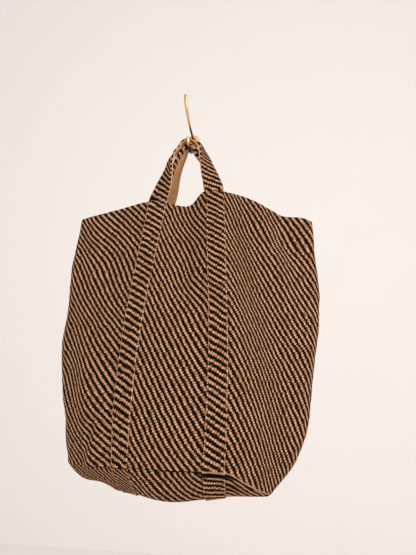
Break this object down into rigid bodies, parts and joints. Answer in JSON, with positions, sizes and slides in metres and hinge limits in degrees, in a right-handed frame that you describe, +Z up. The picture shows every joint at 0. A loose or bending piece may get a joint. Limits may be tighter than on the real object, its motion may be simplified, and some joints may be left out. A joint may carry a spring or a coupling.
{
  "type": "jute carryall bag on a brass wall hook",
  "caption": "Soft open-topped twill jute bag with a deep sagging base, hung by its straps from a bent brass rod hook on a round wall plate.",
  "frame": {"origin": "centre of the wall plate's back face, on the wall plane y = 0", "axes": "+Z up; the wall is behind the part at y = 0 and +Y points into it, so the bag hangs at -Y; +X is to the right of a person who faces the wall"},
  "size_m": [0.4729, 0.1219, 0.7326],
  "materials": {
    "twill": "coarse twill of natural tan and black jute yarns, matt",
    "strap_twill": "narrow twill strip of the same yarns with tan stitched edges, matt",
    "plain_jute": "plain tan jute tape, matt",
    "brass": "polished, darker toward the plate"
  },
  "bodies": {
    "root": {"bag_body": "twill", "strap_front": "strap_twill", "strap_back": "strap_twill", "handle_lining_front": "plain_jute", "handle_lining_back": "plain_jute", "hook_rod": "brass", "hook_plate": "brass"}
  },
  "joints": []
}
